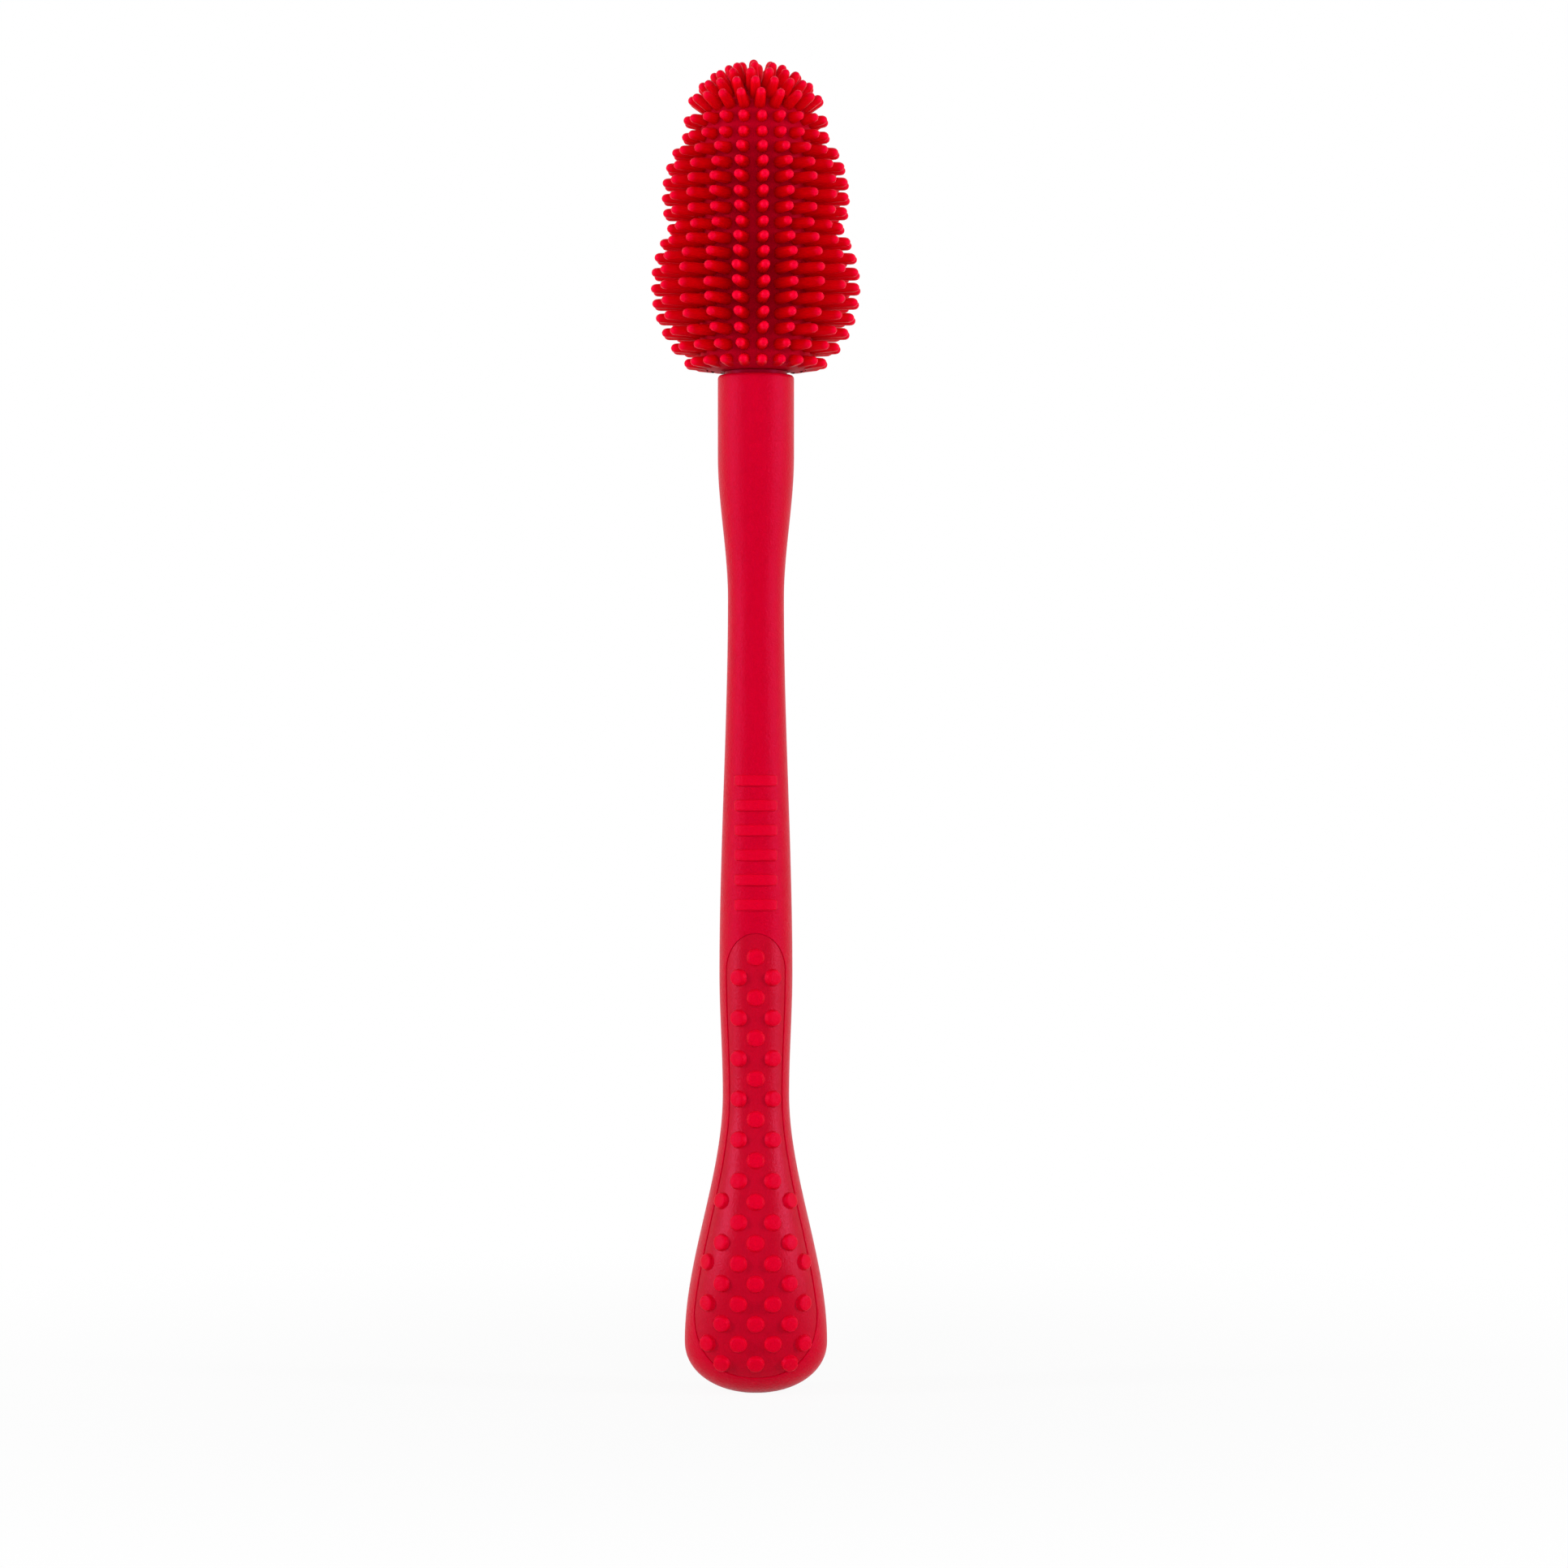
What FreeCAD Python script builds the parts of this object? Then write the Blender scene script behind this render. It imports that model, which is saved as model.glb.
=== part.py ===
import FreeCAD, Part
import math
import os

# Hand brush with an all-round soft-finger head, in mm.
# The brush stands on its butt: +Z runs from the butt to the crown, the front faces -Y,
# and the origin is the middle of the butt's lowest point.

V = FreeCAD.Vector
UP = V(0, 0, 1)
ORIGIN = V(0, 0, 0)

# ---- Handle outline, seen from the front -------------------------------------------
# Heights of the named stations above the butt, and the half-width at each.
BULB_Z = 6.8
BULB_HALF_WIDTH = 9.5
WAIST_Z = 39.8
WAIST_RADIUS = 4.44
SWELL_Z = 56.0
SWELL_RADIUS = 4.88
NECK_Z = 106.0
NECK_RADIUS = 3.75
SHOULDER_Z = 125.0
SHOULDER_RADIUS = 5.1
SHOULDER_LENGTH = 10.8
TOP_EDGE_ROUND = 0.5

# The butt is a superellipse, cut flat at its lowest point, and thinner than it is wide.
BUTT_POWER = 2.1
BUTT_CUT = 0.1
BUTT_FLATNESS = 0.60
FLAT_TO_Z = 2.0
ROUND_FROM_Z = 24.0

# ---- Dotted grip pads, one on the front and one on the back ------------------------
PAD_LOW_Z = 2.35
PAD_WIDE_Z = 11.0
PAD_TOP_Z = 61.4
PAD_TOP_ROUND = 5.0
PAD_POWER = 2.25
PAD_MARGIN_LOW = 1.07
PAD_MARGIN_HIGH = 0.90
PAD_RECESS = 0.15
PAD_THICKNESS = 1.2
PAD_FIT = 0.05

DOT_RADIUS = 1.08
DOT_RISE = 0.5
DOT_ROOT = 0.5
DOT_PITCH = 5.38
DOT_LOW_Z = 4.4
# Columns of dots on each side: distance from the middle, lift in pitches, number of dots.
DOT_COLUMNS = [(0.0, 0.0, 11), (2.3, 0.5, 10), (4.5, 0.0, 5), (6.35, 0.5, 3)]

# ---- Plain thumb bars above the front pad ------------------------------------------
BAR_COUNT = 6
BAR_LOW_Z = 64.4
BAR_PITCH = 3.3
BAR_HEIGHT = 1.5
BAR_HALF_WIDTH = 2.75
BAR_RISE = 0.35
BAR_ROOT = 0.6

# ---- Stiff core: spine in the handle, collar at the seam, barbed post in the head ---
SPINE_LOW_Z = 8.0
SPINE_RADIUS = 2.2
WINDOW_RADIUS = 1.1
WINDOW_LOW_Z = 20.0
WINDOW_PITCH = 24.0
WINDOW_COUNT = 4
COLLAR_RADIUS = 4.15
COLLAR_BURIED = 3.0
SEAM_GAP = 0.5
SEAT_CLEARANCE = 0.05
POST_TIP_BELOW_LAST_RING = 3.55
POST_ROOT_RADIUS = 3.4
POST_TIP_RADIUS = 2.2
POST_TIP_ROUND = 0.6
BARB_COUNT = 5
BARB_DEPTH = 0.4
BARB_NECK_SHARE = 1 / 3
BORE_CLEARANCE = 0.1
BORE_END_ROOM = 0.5

# ---- Head: stacked rings of soft fingers on a hollow backing -----------------------
HEAD_TURN = -2.7
RING_PITCH = 2.0
FIRST_RING_UP = 1.0
FINGERS_PER_RING = 20
FINGER_ROOT_WIDTH = 1.4
FINGER_TIP_WIDTH = 1.1
FINGER_BURIED = 0.5

# Three round lobes hold the finger tips: height above the head's base, and radius at the
# sides. Towards the front and the back the tips reach only a share of that radius.
LOBES = [(11.3, 14.1), (23.2, 12.65), (32.2, 9.85)]
LOBE_DEPTH_SHARE = 0.91

# The crown is a dome whose slimmer fingers fan out from its centre, a little way down.
# Each of its rings: rise in degrees, number of fingers, and turn as a share of one pitch.
CROWN_CENTRE_BELOW_LAST_RING = 2.0
CROWN_BACKING_RADIUS = 7.5
CROWN_SIDE_REACH = 10.4
CROWN_TOP_REACH = 10.6
CROWN_FINGER_GIRTH = 0.9
CROWN_RINGS = [
    (31.0, 20, 0.42),
    (43.5, 18, 0.12),
    (56.0, 14, 0.84),
    (68.5, 9, 0.0),
    (79.0, 4, 0.94),
]

# Backing slices from the bottom up: name, number of rings, radius at the slice's foot.
SLICES = [
    ("head_base_ring", 2, 7.3),
    ("head_lower_lobe", 6, 7.6),
    ("head_waist", 3, 7.7),
    ("head_upper_lobe", 4, 7.65),
    ("head_crown", 2, 7.55),
]

HANDLE_TOP_Z = SHOULDER_Z + SHOULDER_LENGTH
HEAD_BASE_Z = HANDLE_TOP_Z + SEAM_GAP
COLLAR_TOP_Z = HEAD_BASE_Z - SEAT_CLEARANCE
RING_COUNT = sum(rings for name, rings, foot_radius in SLICES)
LAST_RING_Z = HEAD_BASE_Z + FIRST_RING_UP + (RING_COUNT - 1) * RING_PITCH
CROWN_CENTRE_Z = LAST_RING_Z - CROWN_CENTRE_BELOW_LAST_RING
POST_TIP_Z = LAST_RING_Z - POST_TIP_BELOW_LAST_RING
POST_LENGTH = POST_TIP_Z - COLLAR_TOP_Z

# How finely the outlines are sampled for the smooth surfaces through them.
BUTT_SECTIONS = 7
SPAN_SECTIONS = [7, 3, 8, 5]
PAD_END_POINTS = 6
PAD_SIDE_POINTS = 8
LOFT_DEGREE = 5
SLOPE_STEP = 0.05


# ---- Shared geometry ----------------------------------------------------------------
def ease(t):
    """Goes from 0 to 1 with level ends, and stays there outside that stretch."""
    t = min(max(t, 0.0), 1.0)
    return t * t * (3 - 2 * t)


def blend(z, low, high):
    """Eases between two (height, value) stations."""
    return low[1] + (high[1] - low[1]) * ease((z - low[0]) / (high[0] - low[0]))


def superellipse(height, reach, power):
    """Share of the full width at a height below the widest point, for a given reach."""
    share = min(max(height / reach, 0.0), 1.0)
    return (1 - share ** power) ** (1 / power)


def half_width(z):
    """Half-width of the handle at height z: a chain of eased stations."""
    bulb = (BULB_Z, BULB_HALF_WIDTH)
    waist = (WAIST_Z, WAIST_RADIUS)
    swell = (SWELL_Z, SWELL_RADIUS)
    neck = (NECK_Z, NECK_RADIUS)
    shoulder = (SHOULDER_Z, SHOULDER_RADIUS)
    if z < BULB_Z:
        return BULB_HALF_WIDTH * superellipse(BULB_Z - z, BULB_Z + BUTT_CUT, BUTT_POWER)
    if z < WAIST_Z:
        return blend(z, bulb, waist)
    if z < SWELL_Z:
        return blend(z, waist, swell)
    if z < NECK_Z:
        return blend(z, swell, neck)
    return blend(z, neck, shoulder)


def half_depth(z):
    """Half-thickness from front to back: round above, flattened towards the butt."""
    return half_width(z) * blend(z, (FLAT_TO_Z, BUTT_FLATNESS), (ROUND_FROM_Z, 1.0))


def section(z, inset):
    """Cross-section of the handle at height z, moved inwards by inset: two half ellipses."""
    across = half_width(z) - inset
    deep = min(half_depth(z) - inset, across)
    whole = Part.Ellipse(V(0, 0, z), across, deep)
    halves = [Part.ArcOfEllipse(whole, 0, math.pi), Part.ArcOfEllipse(whole, math.pi, 2 * math.pi)]
    return Part.Wire([half.toShape() for half in halves])


def section_heights(inset):
    """Heights of the handle's sections: close together round the butt, then even."""
    low = inset if inset > 0 else 0.0
    reach = BULB_Z - low
    turns = [math.radians(90 * i / BUTT_SECTIONS) for i in range(BUTT_SECTIONS)]
    heights = [BULB_Z - reach * math.cos(turn) for turn in turns]
    stations = [BULB_Z, WAIST_Z, SWELL_Z, NECK_Z, SHOULDER_Z]
    for (start, end), count in zip(zip(stations, stations[1:]), SPAN_SECTIONS):
        heights += [start + (end - start) * i / count for i in range(count)]
    return heights + [SHOULDER_Z]


def handle_form(inset):
    """The handle's outer form, moved inwards by inset, as far up as the shoulder."""
    wires = [section(z, inset) for z in section_heights(inset)]
    return Part.makeLoft(wires, True, False, False, LOFT_DEGREE)


def revolved(points):
    """Turned solid from (radius, height) points, closed along the axis."""
    outline = Part.makePolygon([V(r, 0, z) for r, z in points + points[:1]])
    return Part.Face(outline).revolve(ORIGIN, UP, 360)


# ---- Core ---------------------------------------------------------------------------
def post_radius(z):
    """Outer radius over the barbs, which falls steadily so that the head pulls off."""
    share = (z - COLLAR_TOP_Z) / POST_LENGTH
    return POST_ROOT_RADIUS + (POST_TIP_RADIUS - POST_ROOT_RADIUS) * share


def core_spine():
    """One stiff piece: spine, collar and barbed post, with windows that key the grip."""
    collar_low = HANDLE_TOP_Z - COLLAR_BURIED
    points = [
        (0, SPINE_LOW_Z),
        (SPINE_RADIUS, SPINE_LOW_Z),
        (SPINE_RADIUS, collar_low - (COLLAR_RADIUS - SPINE_RADIUS)),
        (COLLAR_RADIUS, collar_low),
        (COLLAR_RADIUS, COLLAR_TOP_Z),
    ]
    barb_pitch = (POST_LENGTH - POST_TIP_ROUND) / BARB_COUNT
    for i in range(BARB_COUNT):
        foot = COLLAR_TOP_Z + i * barb_pitch
        lip = foot + barb_pitch * BARB_NECK_SHARE
        crest = post_radius(foot + barb_pitch)
        points += [(crest - BARB_DEPTH, foot), (crest - BARB_DEPTH, lip), (crest, lip)]
    points += [(POST_TIP_RADIUS, POST_TIP_Z - POST_TIP_ROUND)]
    points += [(POST_TIP_RADIUS - POST_TIP_ROUND, POST_TIP_Z)]
    points += [(0, POST_TIP_Z)]
    core = revolved(points)
    for i in range(WINDOW_COUNT):
        z = WINDOW_LOW_Z + i * WINDOW_PITCH
        start = V(-BULB_HALF_WIDTH, 0, z)
        window = Part.makeCylinder(WINDOW_RADIUS, 2 * BULB_HALF_WIDTH, start, V(1, 0, 0))
        core = core.cut(window)
    return core


# ---- Grip pads ----------------------------------------------------------------------
def pad_margin(z):
    return blend(z, (BULB_Z, PAD_MARGIN_LOW), (WAIST_Z, PAD_MARGIN_HIGH))


def pad_half_width(z):
    """Half-width of a pad: it follows the handle's outline, with two rounded ends."""
    round_z = PAD_TOP_Z - PAD_TOP_ROUND
    if z < PAD_WIDE_Z:
        full = half_width(PAD_WIDE_Z) - pad_margin(PAD_WIDE_Z)
        return full * superellipse(PAD_WIDE_Z - z, PAD_WIDE_Z - PAD_LOW_Z, PAD_POWER)
    if z < round_z:
        return half_width(z) - pad_margin(z)
    full = half_width(round_z) - pad_margin(round_z)
    return full * superellipse(z - round_z, PAD_TOP_ROUND, 2.0)


def pad_prism(grow):
    """Pad outline pushed through the handle's front half, larger by grow all round."""
    round_z = PAD_TOP_Z - PAD_TOP_ROUND
    turns = [math.radians(90 * i / PAD_END_POINTS) for i in range(PAD_END_POINTS + 1)]
    low = [PAD_WIDE_Z - (PAD_WIDE_Z - PAD_LOW_Z) * math.cos(turn) for turn in turns]
    side = (round_z - PAD_WIDE_Z) / PAD_SIDE_POINTS
    middle = [PAD_WIDE_Z + side * i for i in range(1, PAD_SIDE_POINTS)]
    high = [round_z + PAD_TOP_ROUND * math.sin(turn) for turn in turns]
    heights = low + middle + high
    centre_z = (PAD_LOW_Z + PAD_TOP_Z) / 2
    stretch = (PAD_TOP_Z - PAD_LOW_Z + 2 * grow) / (PAD_TOP_Z - PAD_LOW_Z)
    right = []
    for z in heights:
        across = pad_half_width(z)
        wider = across + grow if across > grow else across
        right.append(V(wider, 0, centre_z + (z - centre_z) * stretch))
    left = [V(-p.x, 0, p.z) for p in right]
    edges = []
    for points in (right, left):
        curve = Part.BSplineCurve()
        curve.interpolate(points)
        edges.append(curve.toShape())
    face = Part.Face(Part.Wire(edges))
    return face.extrude(V(0, -2 * BULB_HALF_WIDTH, 0))


def surface_point(x, z, inset):
    """Point on the front of the form moved inwards by inset, and its outward normal."""
    across = half_width(z) - inset
    deep = half_depth(z) - inset
    y = -deep * math.sqrt(max(1 - (x / across) ** 2, 0.0))
    wider = half_width(z + SLOPE_STEP) - half_width(z - SLOPE_STEP)
    deeper = half_depth(z + SLOPE_STEP) - half_depth(z - SLOPE_STEP)
    slope = -(x * x * wider / across ** 3 + y * y * deeper / deep ** 3) / (2 * SLOPE_STEP)
    normal = V(x / across ** 2, y / deep ** 2, slope)
    normal.normalize()
    return V(x, y, z), normal


def dot_places():
    """Dots stand in rows, and every second column lies half a pitch higher."""
    places = []
    for offset, lift, rows in DOT_COLUMNS:
        for i in range(rows):
            z = DOT_LOW_Z + (i + lift) * DOT_PITCH
            for side in ((1, -1) if offset else (1,)):
                places.append((side * offset, z))
    return places


def pad_back(depth):
    """Everything behind the front pad's surface, from depth further in."""
    behind = handle_form(PAD_RECESS)
    behind.translate(V(0, depth, 0))
    return behind


def front_pad():
    pad = handle_form(PAD_RECESS).common(pad_prism(0.0)).cut(pad_back(PAD_THICKNESS))
    dots = []
    for x, z in dot_places():
        place, out = surface_point(x, z, PAD_RECESS)
        dots.append(Part.makeCylinder(DOT_RADIUS, DOT_ROOT + DOT_RISE, place - out * DOT_ROOT, out))
    return pad.fuse(dots)


def turned_back(shape):
    """The same piece on the back of the handle."""
    other = shape.copy()
    other.rotate(ORIGIN, UP, 180)
    return other


# ---- Grip ---------------------------------------------------------------------------
def thumb_bars():
    """Plain raised bars that follow the round of the handle."""
    skin = handle_form(-BAR_RISE).cut(handle_form(BAR_ROOT))
    blocks = []
    for i in range(BAR_COUNT):
        low = V(-BAR_HALF_WIDTH, -2 * BULB_HALF_WIDTH, BAR_LOW_Z + i * BAR_PITCH)
        blocks.append(Part.makeBox(2 * BAR_HALF_WIDTH, 2 * BULB_HALF_WIDTH, BAR_HEIGHT, low))
    return skin.common(Part.Compound(blocks))


def handle_grip(core):
    """Soft moulding over the core, with a pocket for each pad."""
    shoulder = Part.makeCylinder(SHOULDER_RADIUS, SHOULDER_LENGTH, V(0, 0, SHOULDER_Z))
    rim = [e for e in shoulder.Edges if e.BoundBox.ZMin > HANDLE_TOP_Z - TOP_EDGE_ROUND / 2]
    shoulder = shoulder.makeFillet(TOP_EDGE_ROUND, rim)
    grip = handle_form(0.0).fuse(shoulder)
    grip = grip.fuse(thumb_bars())
    pocket = pad_prism(PAD_FIT).cut(pad_back(PAD_THICKNESS + PAD_FIT))
    grip = grip.cut(pocket).cut(turned_back(pocket))
    return grip.cut(core)


# ---- Head ---------------------------------------------------------------------------
def ring_height(i):
    return HEAD_BASE_Z + FIRST_RING_UP + i * RING_PITCH


def tip_radius(z):
    """Reach of a side finger's tip at height z: the widest of the three round lobes."""
    up = z - HEAD_BASE_Z
    return max(math.sqrt(max(r * r - (up - centre) ** 2, 0.0)) for centre, r in LOBES)


def backing_stations():
    """Heights and radii of the backing: the foot of each slice, then the dome's centre."""
    stations = []
    first = 0
    for name, rings, foot_radius in SLICES:
        stations.append((HEAD_BASE_Z if first == 0 else ring_height(first - 0.5), foot_radius))
        first += rings
    return stations + [(CROWN_CENTRE_Z, CROWN_BACKING_RADIUS)]


def backing_radius(z):
    """Outer radius of the backing: straight tapers between its stations, then the dome."""
    if z > CROWN_CENTRE_Z:
        return math.sqrt(CROWN_BACKING_RADIUS ** 2 - (z - CROWN_CENTRE_Z) ** 2)
    stations = backing_stations()
    for (low, low_radius), (high, high_radius) in zip(stations, stations[1:]):
        if z <= high:
            return low_radius + (high_radius - low_radius) * (z - low) / (high - low)


def finger(start, end, girth):
    """Four-sided finger along +X, from its buried root to its tip."""
    ends = []
    for x, width in ((start, FINGER_ROOT_WIDTH), (end, FINGER_TIP_WIDTH)):
        h = girth * width / 2
        corners = [V(x, -h, -h), V(x, h, -h), V(x, h, h), V(x, -h, h), V(x, -h, -h)]
        ends.append(Part.makePolygon(corners))
    return Part.makeLoft(ends, True, True)


def finger_ring(z, backing, reach, count, rise=0.0, turn=0.5, girth=1.0, depth_share=1.0):
    """A full ring of fingers that point outwards, tilted up by rise degrees."""
    fingers = []
    for i in range(count):
        way = -90 + HEAD_TURN + (i + turn) * 360.0 / count
        aside = math.cos(math.radians(way))
        ahead = math.sin(math.radians(way))
        end = reach / math.hypot(aside, ahead / depth_share)
        one = finger(backing - FINGER_BURIED, end, girth)
        one.rotate(ORIGIN, V(0, -1, 0), rise)
        one.translate(V(0, 0, z))
        one.rotate(ORIGIN, UP, way)
        fingers.append(one)
    return fingers


def lobe_ring(i):
    """Ring number i of the lobes, whose tips follow their slightly flattened outline."""
    z = ring_height(i)
    return finger_ring(z, backing_radius(z), tip_radius(z), FINGERS_PER_RING,
                       depth_share=LOBE_DEPTH_SHARE)


def bore():
    """Blind tapered hole that clears the post over the whole way off."""
    low = (post_radius(COLLAR_TOP_Z) + BORE_CLEARANCE, HEAD_BASE_Z)
    high = (POST_TIP_RADIUS + BORE_CLEARANCE, POST_TIP_Z + BORE_END_ROOM)
    return revolved([(0, low[1]), low, high, (0, high[1])])


def crown_fingers():
    fingers = []
    for rise, count, turn in CROWN_RINGS:
        reach = CROWN_SIDE_REACH + (CROWN_TOP_REACH - CROWN_SIDE_REACH) * rise / 90
        fingers += finger_ring(CROWN_CENTRE_Z, CROWN_BACKING_RADIUS, reach, count, rise, turn,
                               CROWN_FINGER_GIRTH)
    return fingers


def head_slices():
    """The head moulding in stacked slices, each fused to its own rings of fingers."""
    hole = bore()
    stations = backing_stations()
    slices = {}
    first = 0
    for index, (name, rings, foot_radius) in enumerate(SLICES):
        (low, low_radius), (high, high_radius) = stations[index:index + 2]
        body = Part.makeCone(low_radius, high_radius, high - low, V(0, 0, low))
        fingers = []
        for i in range(first, first + rings):
            fingers += lobe_ring(i)
        if index == len(SLICES) - 1:
            dome = Part.makeSphere(CROWN_BACKING_RADIUS, V(0, 0, high), UP, 0, 90, 360)
            body = body.fuse(dome)
            fingers += crown_fingers()
        slices[name] = body.fuse(fingers).cut(hole)
        first += rings
    return slices


# ---- Build --------------------------------------------------------------------------
def main():
    os.makedirs("parts", exist_ok=True)
    core = core_spine()
    pad = front_pad()
    pieces = {
        "core_spine": core,
        "handle_grip": handle_grip(core),
        "front_grip_pad": pad,
        "back_grip_pad": turned_back(pad),
    }
    pieces.update(head_slices())
    for name, shape in pieces.items():
        shape.exportStep("parts/" + name + ".step")
        box = shape.BoundBox
        print(name, "solids", len(shape.Solids), "valid", shape.isValid(),
              "volume %.1f" % shape.Volume, "z %.2f to %.2f" % (box.ZMin, box.ZMax))


main()
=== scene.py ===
import math

import bmesh
import bpy
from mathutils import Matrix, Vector


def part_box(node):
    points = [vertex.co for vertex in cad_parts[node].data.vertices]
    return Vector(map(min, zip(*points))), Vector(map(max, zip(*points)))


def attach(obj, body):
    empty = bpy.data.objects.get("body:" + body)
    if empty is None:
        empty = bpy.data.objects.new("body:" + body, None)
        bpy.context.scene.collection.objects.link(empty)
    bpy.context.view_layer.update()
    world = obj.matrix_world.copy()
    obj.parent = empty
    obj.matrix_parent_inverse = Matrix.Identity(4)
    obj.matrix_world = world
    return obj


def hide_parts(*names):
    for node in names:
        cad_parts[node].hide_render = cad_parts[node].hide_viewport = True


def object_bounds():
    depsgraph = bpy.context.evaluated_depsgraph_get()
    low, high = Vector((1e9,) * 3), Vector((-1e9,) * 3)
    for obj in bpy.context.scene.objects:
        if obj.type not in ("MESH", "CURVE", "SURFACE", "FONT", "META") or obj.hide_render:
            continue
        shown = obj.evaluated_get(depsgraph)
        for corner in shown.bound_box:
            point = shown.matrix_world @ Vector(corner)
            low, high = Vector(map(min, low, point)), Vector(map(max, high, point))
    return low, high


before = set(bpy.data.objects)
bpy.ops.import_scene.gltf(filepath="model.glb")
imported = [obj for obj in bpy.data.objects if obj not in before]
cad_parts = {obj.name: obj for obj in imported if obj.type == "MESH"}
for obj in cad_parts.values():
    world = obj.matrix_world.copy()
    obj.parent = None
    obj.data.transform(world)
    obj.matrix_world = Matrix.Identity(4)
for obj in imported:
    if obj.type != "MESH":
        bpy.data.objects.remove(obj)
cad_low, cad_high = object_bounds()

# ---- Core ---------------------------------------------------------------------------
# The stiff nylon core runs up the handle and carries the head on a barbed post. Only its
# collar shows, in the thin gap under the head; the rest shows when the head is pulled off.
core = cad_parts["core_spine"]


def new_material(name):
    """An empty node material and its Principled shader."""
    material = bpy.data.materials.new(name)
    material.use_nodes = True
    return material, material.node_tree.nodes["Principled BSDF"]


def add_node(tree, kind, **settings):
    node = tree.nodes.new(kind)
    for key, value in settings.items():
        setattr(node, key, value)
    return node


def fill(node, **values):
    """Sets input sockets by name, with _ for a space."""
    for name, value in values.items():
        node.inputs[name.replace("_", " ")].default_value = value


def srgb(r, g, b):
    """Linear colour from the 0 to 255 values that a screen shows."""
    def linear(c):
        c /= 255
        return c / 12.92 if c <= 0.04045 else ((c + 0.055) / 1.055) ** 2.4
    return (linear(r), linear(g), linear(b), 1)


def soft_skin_group():
    """Moulded-rubber skin: faint mottling, fine satin grain and a few dust specks."""
    group = bpy.data.node_groups.new("soft skin", "ShaderNodeTree")
    face = group.interface
    face.new_socket(name="Colour", in_out="INPUT", socket_type="NodeSocketColor")
    face.new_socket(name="Shade", in_out="INPUT", socket_type="NodeSocketColor")
    face.new_socket(name="Mottle", in_out="INPUT", socket_type="NodeSocketFloat")
    face.new_socket(name="Satin", in_out="INPUT", socket_type="NodeSocketFloat")
    face.new_socket(name="Grain", in_out="INPUT", socket_type="NodeSocketFloat")
    face.new_socket(name="Dust", in_out="INPUT", socket_type="NodeSocketFloat")
    face.new_socket(name="Colour", in_out="OUTPUT", socket_type="NodeSocketColor")
    face.new_socket(name="Roughness", in_out="OUTPUT", socket_type="NodeSocketFloat")
    face.new_socket(name="Normal", in_out="OUTPUT", socket_type="NodeSocketVector")
    start = group.nodes.new("NodeGroupInput")
    end = group.nodes.new("NodeGroupOutput")
    link = group.links.new
    place = add_node(group, "ShaderNodeTexCoord")
    grain_spread = 0.16
    speck_radius, speck_strength, speck_height = 0.045, 0.30, 1.5

    cloud = add_node(group, "ShaderNodeTexNoise")
    fill(cloud, Scale=700, Detail=6, Roughness=0.75)
    link(place.outputs["Object"], cloud.inputs["Vector"])
    cloud_mask = add_node(group, "ShaderNodeMath", operation="MULTIPLY", use_clamp=True)
    link(cloud.outputs["Fac"], cloud_mask.inputs[0])
    link(start.outputs["Mottle"], cloud_mask.inputs[1])
    mottled = add_node(group, "ShaderNodeMix", data_type="RGBA")
    link(cloud_mask.outputs[0], mottled.inputs["Factor"])
    link(start.outputs["Colour"], mottled.inputs["A"])
    link(start.outputs["Shade"], mottled.inputs["B"])

    grain = add_node(group, "ShaderNodeTexNoise")
    fill(grain, Scale=3400, Detail=3, Roughness=0.65)
    link(place.outputs["Object"], grain.inputs["Vector"])

    cells = add_node(group, "ShaderNodeTexVoronoi")
    fill(cells, Scale=330, Randomness=1)
    link(place.outputs["Object"], cells.inputs["Vector"])
    near = add_node(group, "ShaderNodeMath", operation="LESS_THAN")
    near.inputs[1].default_value = speck_radius
    link(cells.outputs["Distance"], near.inputs[0])
    pick = add_node(group, "ShaderNodeSeparateColor")
    link(cells.outputs["Color"], pick.inputs["Color"])
    chosen = add_node(group, "ShaderNodeMath", operation="LESS_THAN")
    link(pick.outputs["Red"], chosen.inputs[0])
    link(start.outputs["Dust"], chosen.inputs[1])
    speck = add_node(group, "ShaderNodeMath", operation="MULTIPLY")
    link(near.outputs[0], speck.inputs[0])
    link(chosen.outputs[0], speck.inputs[1])
    faded = add_node(group, "ShaderNodeMath", operation="MULTIPLY")
    faded.inputs[1].default_value = speck_strength
    link(speck.outputs[0], faded.inputs[0])
    dusted = add_node(group, "ShaderNodeMix", data_type="RGBA")
    dusted.inputs["B"].default_value = srgb(246, 190, 180)
    link(faded.outputs[0], dusted.inputs["Factor"])
    link(mottled.outputs["Result"], dusted.inputs["A"])
    link(dusted.outputs["Result"], end.inputs["Colour"])

    spread = add_node(group, "ShaderNodeMath", operation="MULTIPLY_ADD")
    spread.inputs[1].default_value = grain_spread
    link(grain.outputs["Fac"], spread.inputs[0])
    link(start.outputs["Satin"], spread.inputs[2])
    link(spread.outputs[0], end.inputs["Roughness"])

    lift = add_node(group, "ShaderNodeMath", operation="MULTIPLY_ADD")
    lift.inputs[1].default_value = speck_height
    link(speck.outputs[0], lift.inputs[0])
    link(grain.outputs["Fac"], lift.inputs[2])
    bump = add_node(group, "ShaderNodeBump")
    fill(bump, Strength=1.0)
    link(lift.outputs[0], bump.inputs["Height"])
    link(start.outputs["Grain"], bump.inputs["Distance"])
    link(bump.outputs["Normal"], end.inputs["Normal"])
    return group


soft_skin = soft_skin_group()


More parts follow.
